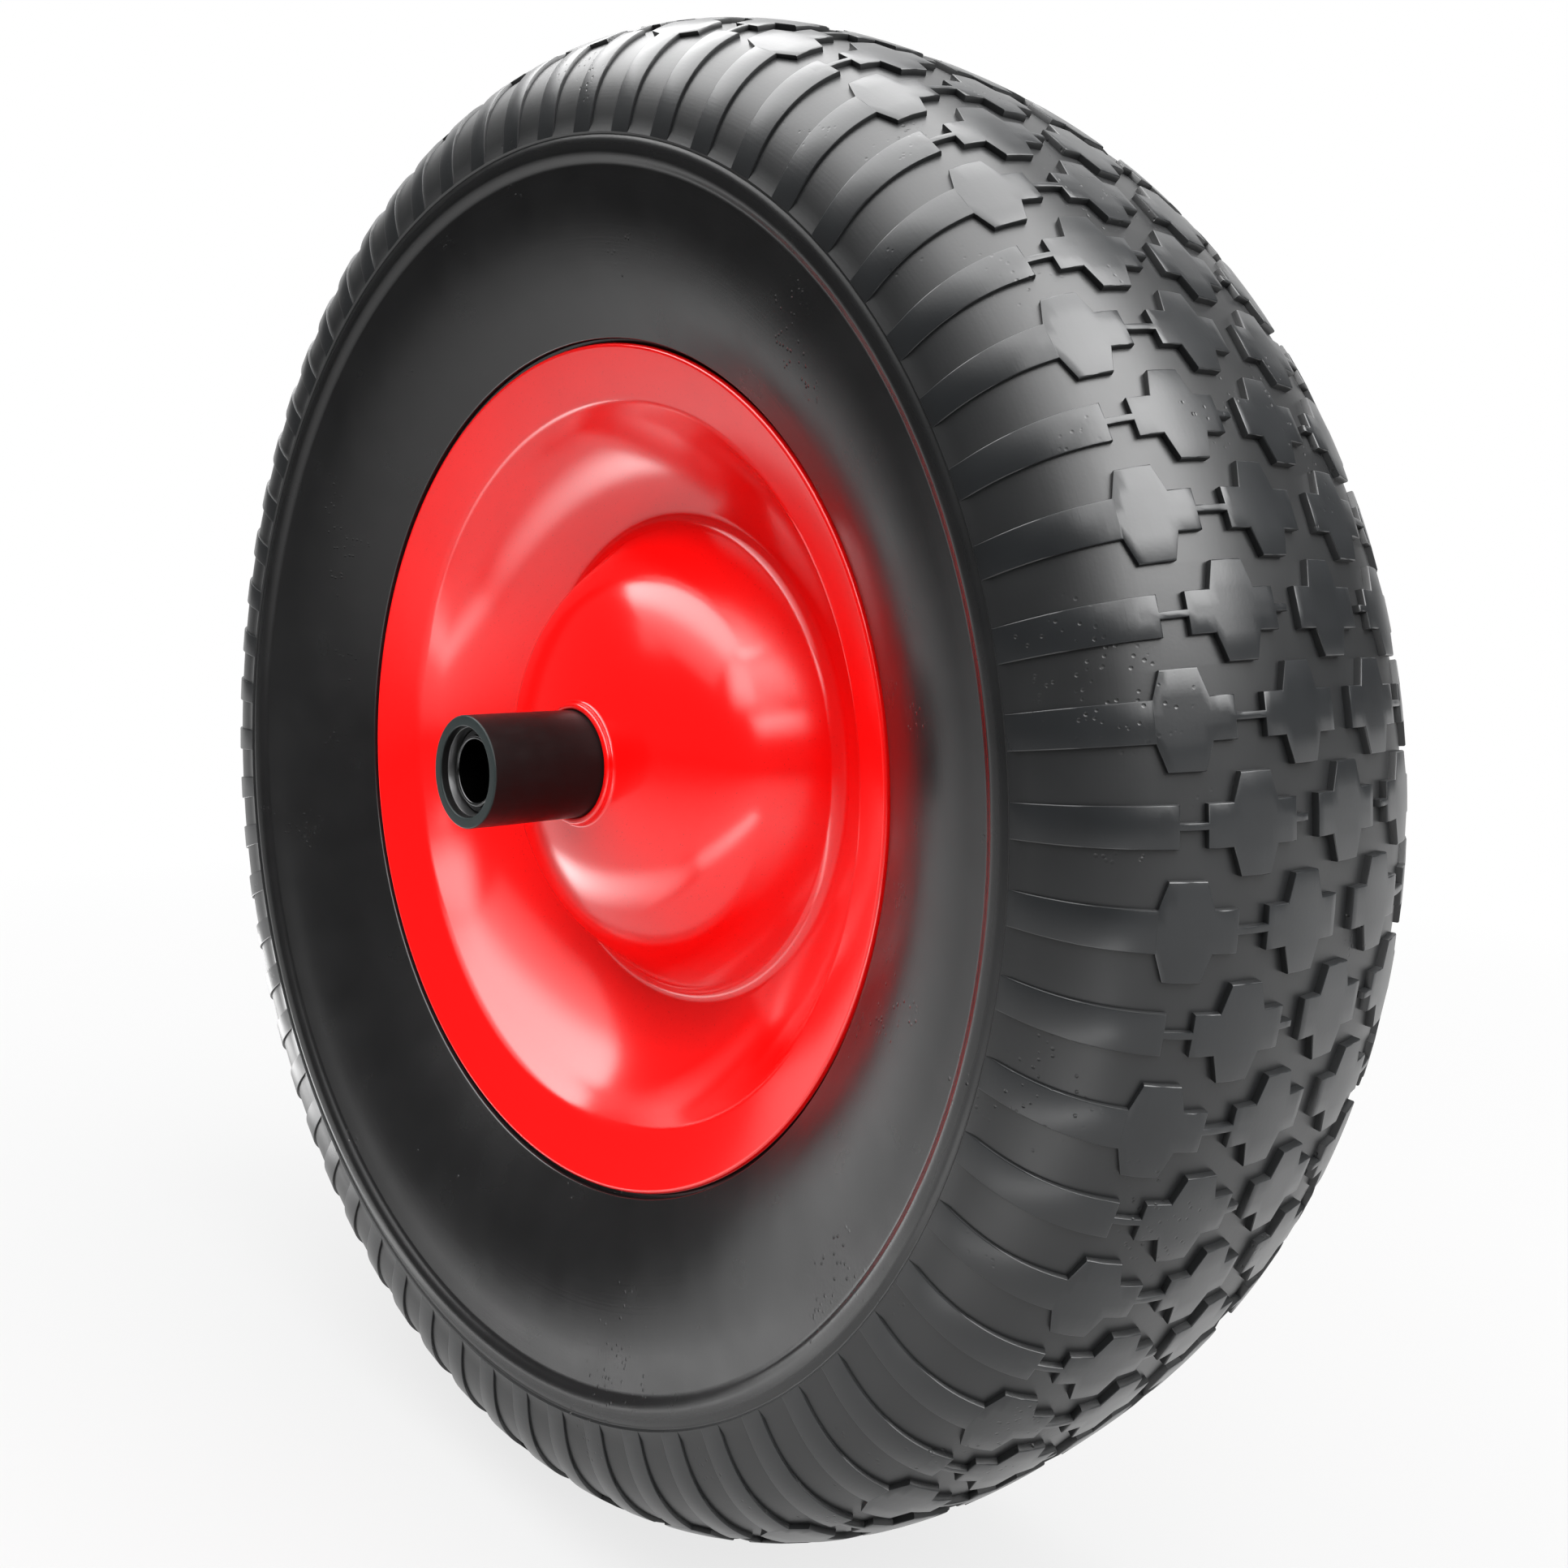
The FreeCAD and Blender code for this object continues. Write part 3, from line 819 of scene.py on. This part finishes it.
# %% Softboxes
def softbox(name, place, aim, turned, width, height, strength, across, along):
    """A plane of width by height metres that shines towards `aim`, `turned` by degrees in
    its own plane. Stops `across` and `along` it, from 0 to 1, share out its strength."""
    deselect()
    turn = (Vector(aim) - Vector(place)).to_track_quat("Z", "Y")
    turn = (turn @ Quaternion((0, 0, 1), math.radians(turned))).to_euler()
    bpy.ops.mesh.primitive_plane_add(size=1, location=place, rotation=turn)
    lamp = bpy.context.object
    lamp.name = name
    lamp.scale = (width, height, 1)
    lamp.visible_camera = False
    lamp.visible_shadow = False
    material, _ = new_material(name, (0, 0, 0), 1.0)
    spots = add(material, "ShaderNodeTexCoord").outputs["Generated"]
    parts = add(material, "ShaderNodeSeparateXYZ", None, {"Vector": spots}).outputs
    glow = worked_out(material, "MULTIPLY", ramp(material, parts["X"], *across),
                      ramp(material, parts["Y"], *along))
    back = add(material, "ShaderNodeNewGeometry").outputs["Backfacing"]
    glow = worked_out(material, "MULTIPLY", glow, strength)
    shine = add(material, "ShaderNodeEmission", None, {"Strength": glow}).outputs[0]
    clear = add(material, "ShaderNodeBsdfTransparent").outputs[0]
    mix = add(material, "ShaderNodeMixShader", None, {0: back, 1: shine, 2: clear}).outputs[0]
    put(material, material.node_tree.nodes["Material Output"].inputs["Surface"], mix)
    dress([lamp], material)
    return lamp


lamps = [
    softbox("overhead", (-0.425, -1.05, 1.5), (-0.425, -1.05, 0), 0, 2.45, 3.5, 6.8,
            ((0.0, 0.5), (0.04, 0.9), (1.0, 1.0)),
            ((0.0, 0.05), (0.057, 0.12), (0.25, 0.24), (0.386, 0.38), (0.47, 0.8),
             (0.52, 1.0), (0.97, 1.0), (1.0, 0.6))),
    softbox("right", (1.634, -0.057, 1.472), (0, 0, 0), 0, 3.7, 2.34, 10.0,
            ((0.0, 0.0), (0.25, 1.0), (0.75, 1.0), (1.0, 0.0)),
            ((0.0, 0.1), (0.25, 1.0), (0.9, 1.0), (1.0, 0.7))),
    softbox("right front", (1.25, -1.25, 1.3), (0, 0, 0), 0, 1.2, 1.1, 5.0,
            ((0.0, 0.0), (0.3, 1.0), (0.7, 1.0), (1.0, 0.0)),
            ((0.0, 0.0), (0.35, 1.0), (0.8, 1.0), (1.0, 0.4))),
    softbox("low left", (-0.27, -0.125, -0.188), (-0.27, -0.125, 1), -22.4, 0.67, 0.11, 6.5,
            ((0.0, 0.0), (0.1, 0.35), (0.35, 0.65), (0.55, 1.0), (1.0, 1.0)),
            ((0.0, 0.1), (0.4, 1.0), (0.7, 1.0), (1.0, 0.0))),
    softbox("low right", (0.2, -0.262, -0.188), (0.2, -0.262, 1), -3.4, 0.42, 0.11, 6.0,
            ((0.0, 1.0), (0.5, 0.85), (1.0, 0.4)),
            ((0.0, 0.1), (0.4, 1.0), (0.7, 1.0), (1.0, 0.0))),
]
for lamp in lamps:
    print("Softbox", lamp.name, "faces", [round(v, 2) for v in
          lamp.rotation_euler.to_matrix().col[2]])
